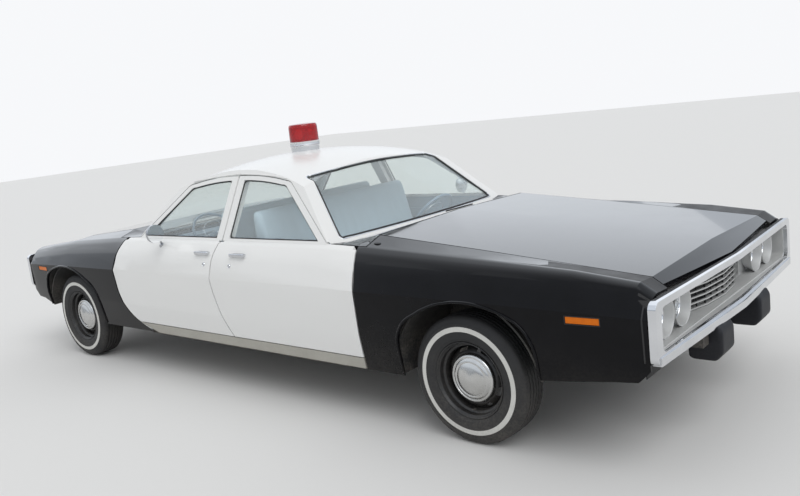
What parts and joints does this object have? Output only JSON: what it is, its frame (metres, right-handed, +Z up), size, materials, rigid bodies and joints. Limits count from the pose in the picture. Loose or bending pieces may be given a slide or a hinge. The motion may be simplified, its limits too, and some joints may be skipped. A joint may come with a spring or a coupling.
{
  "type": "double-ended police patrol car",
  "caption": "Double-ended patrol saloon: a hood, chrome loop bumper and windscreen at each end, hinged doors, steered front wheels, red roof light.",
  "frame": {"origin": "on the ground under the middle of the car's length and width", "axes": "+X to the front end (engine, steered wheels), +Y to the car's left, +Z up"},
  "size_m": [5.49, 2.112, 1.609],
  "materials": {
    "black_paint": "gloss",
    "white_paint": "gloss",
    "cream_paint": "gloss",
    "silver_paint": "satin",
    "black_steel": "matte",
    "bright_steel": "satin",
    "cast_metal": "rough",
    "chrome": "mirror bright",
    "clear_glass": "clear, slightly green",
    "lamp_glass": "fluted clear lens",
    "amber_lens": "gloss",
    "red_lens": "clear red",
    "black_rubber": "matte",
    "tyre": "matte, thin white ring",
    "blue_vinyl": "satin",
    "blue_trim": "satin"
  },
  "bodies": {
    "car_body": {"underbody": "black_steel", "wheelhouses": "black_steel", "sills": "cream_paint", "roof_shell": "white_paint", "door_posts": "black_steel", "cowls": "black_paint", "front_fenders": "black_paint", "back_fenders": "black_paint", "windscreens": "clear_glass", "marker_lamps": "amber_lens", "bumper_guards": "black_rubber", "beacon_base": "bright_steel", "beacon_lens": "red_lens", "engine": "cast_metal", "exhaust": "bright_steel", "drive_shaft": "black_steel", "radiator": "black_steel", "front_suspension": "black_steel", "back_axle": "black_steel", "front_loop_bumper": "chrome", "front_grille_tray": "silver_paint", "front_grille_bars": "silver_paint", "front_headlamps": "lamp_glass", "front_seat": "blue_vinyl", "front_dashboard": "blue_trim", "back_loop_bumper": "chrome", "back_grille_tray": "silver_paint", "back_grille_bars": "silver_paint", "back_headlamps": "lamp_glass", "back_seat": "blue_vinyl", "back_dashboard": "blue_trim"},
    "front_right_door": {"front_right_door": "white_paint", "front_right_door_glass": "clear_glass"},
    "front_right_wheel": {"front_right_wheel": "black_steel", "front_right_tyre": "tyre"},
    "front_left_door": {"front_left_door": "white_paint", "front_left_door_glass": "clear_glass", "front_mirror": "chrome"},
    "front_left_wheel": {"front_left_wheel": "black_steel", "front_left_tyre": "tyre"},
    "front_hood": {"front_hood": "black_paint"},
    "front_steering_wheel": {"front_steering_wheel": "blue_trim"},
    "back_right_door": {"back_right_door": "white_paint", "back_right_door_glass": "clear_glass", "back_mirror": "chrome"},
    "back_right_wheel": {"back_right_wheel": "black_steel", "back_right_tyre": "tyre"},
    "back_left_door": {"back_left_door": "white_paint", "back_left_door_glass": "clear_glass"},
    "back_left_wheel": {"back_left_wheel": "black_steel", "back_left_tyre": "tyre"},
    "back_hood": {"back_hood": "black_paint"},
    "back_steering_wheel": {"back_steering_wheel": "blue_trim"},
    "front_right_knuckle": {"front_right_knuckle": "cast_metal"},
    "front_left_knuckle": {"front_left_knuckle": "cast_metal"},
    "beacon_lamp": {"beacon_lamp": "bright_steel"}
  },
  "joints": [
    {"name": "front_right_door_hinge", "type": "hinge", "parent": "car_body", "child": "front_right_door", "pos_m": [1.145, -0.94, 0.5], "axis": [0, 0, 1], "range_deg": [0, 65]},
    {"name": "front_left_door_hinge", "type": "hinge", "parent": "car_body", "child": "front_left_door", "pos_m": [1.145, 0.94, 0.5], "axis": [0, 0, -1], "range_deg": [0, 65]},
    {"name": "front_hood_hinge", "type": "hinge", "parent": "car_body", "child": "front_hood", "pos_m": [1.07, 0, 0.995], "axis": [0, -1, 0], "range_deg": [0, 50]},
    {"name": "front_steering_turn", "type": "hinge", "parent": "car_body", "child": "front_steering_wheel", "pos_m": [0.58, 0.37, 0.89], "axis": [-0.766, 0, 0.6428], "range_deg": [-480, 480]},
    {"name": "back_right_door_hinge", "type": "hinge", "parent": "car_body", "child": "back_right_door", "pos_m": [-1.32995, -0.94, 0.5], "axis": [0, 0, -1], "range_deg": [0, 65]},
    {"name": "back_left_door_hinge", "type": "hinge", "parent": "car_body", "child": "back_left_door", "pos_m": [-1.32995, 0.94, 0.5], "axis": [0, 0, 1], "range_deg": [0, 65]},
    {"name": "back_hood_hinge", "type": "hinge", "parent": "car_body", "child": "back_hood", "pos_m": [-1.31, 0, 0.995], "axis": [0, 1, 0], "range_deg": [0, 50]},
    {"name": "back_steering_turn", "type": "hinge", "parent": "car_body", "child": "back_steering_wheel", "pos_m": [-0.82, -0.37, 0.89], "axis": [0.766, 0, 0.6428], "range_deg": [-480, 480]},
    {"name": "front_right_steer", "type": "hinge", "parent": "car_body", "child": "front_right_knuckle", "pos_m": [1.73, -0.745, 0.325], "axis": [0, 0, 1], "range_deg": [-30, 30]},
    {"name": "front_left_steer", "type": "hinge", "parent": "car_body", "child": "front_left_knuckle", "pos_m": [1.73, 0.745, 0.325], "axis": [0, 0, 1], "range_deg": [-30, 30]},
    {"name": "front_right_roll", "type": "hinge", "parent": "front_right_knuckle", "child": "front_right_wheel", "pos_m": [1.73, -0.84, 0.325], "axis": [0, 1, 0], "continuous": true},
    {"name": "front_left_roll", "type": "hinge", "parent": "front_left_knuckle", "child": "front_left_wheel", "pos_m": [1.73, 0.84, 0.325], "axis": [0, 1, 0], "continuous": true},
    {"name": "back_right_roll", "type": "hinge", "parent": "car_body", "child": "back_right_wheel", "pos_m": [-1.97, -0.84, 0.325], "axis": [0, 1, 0], "continuous": true},
    {"name": "back_left_roll", "type": "hinge", "parent": "car_body", "child": "back_left_wheel", "pos_m": [-1.97, 0.84, 0.325], "axis": [0, 1, 0], "continuous": true},
    {"name": "beacon_turn", "type": "hinge", "parent": "car_body", "child": "beacon_lamp", "pos_m": [-0.178, 0, 1.48], "axis": [0, 0, 1], "continuous": true}
  ],
  "couplings": [
    {"joint": "front_left_steer", "follows": "front_right_steer", "ratio": 1},
    {"joint": "front_steering_turn", "follows": "front_right_steer", "ratio": 16}
  ]
}
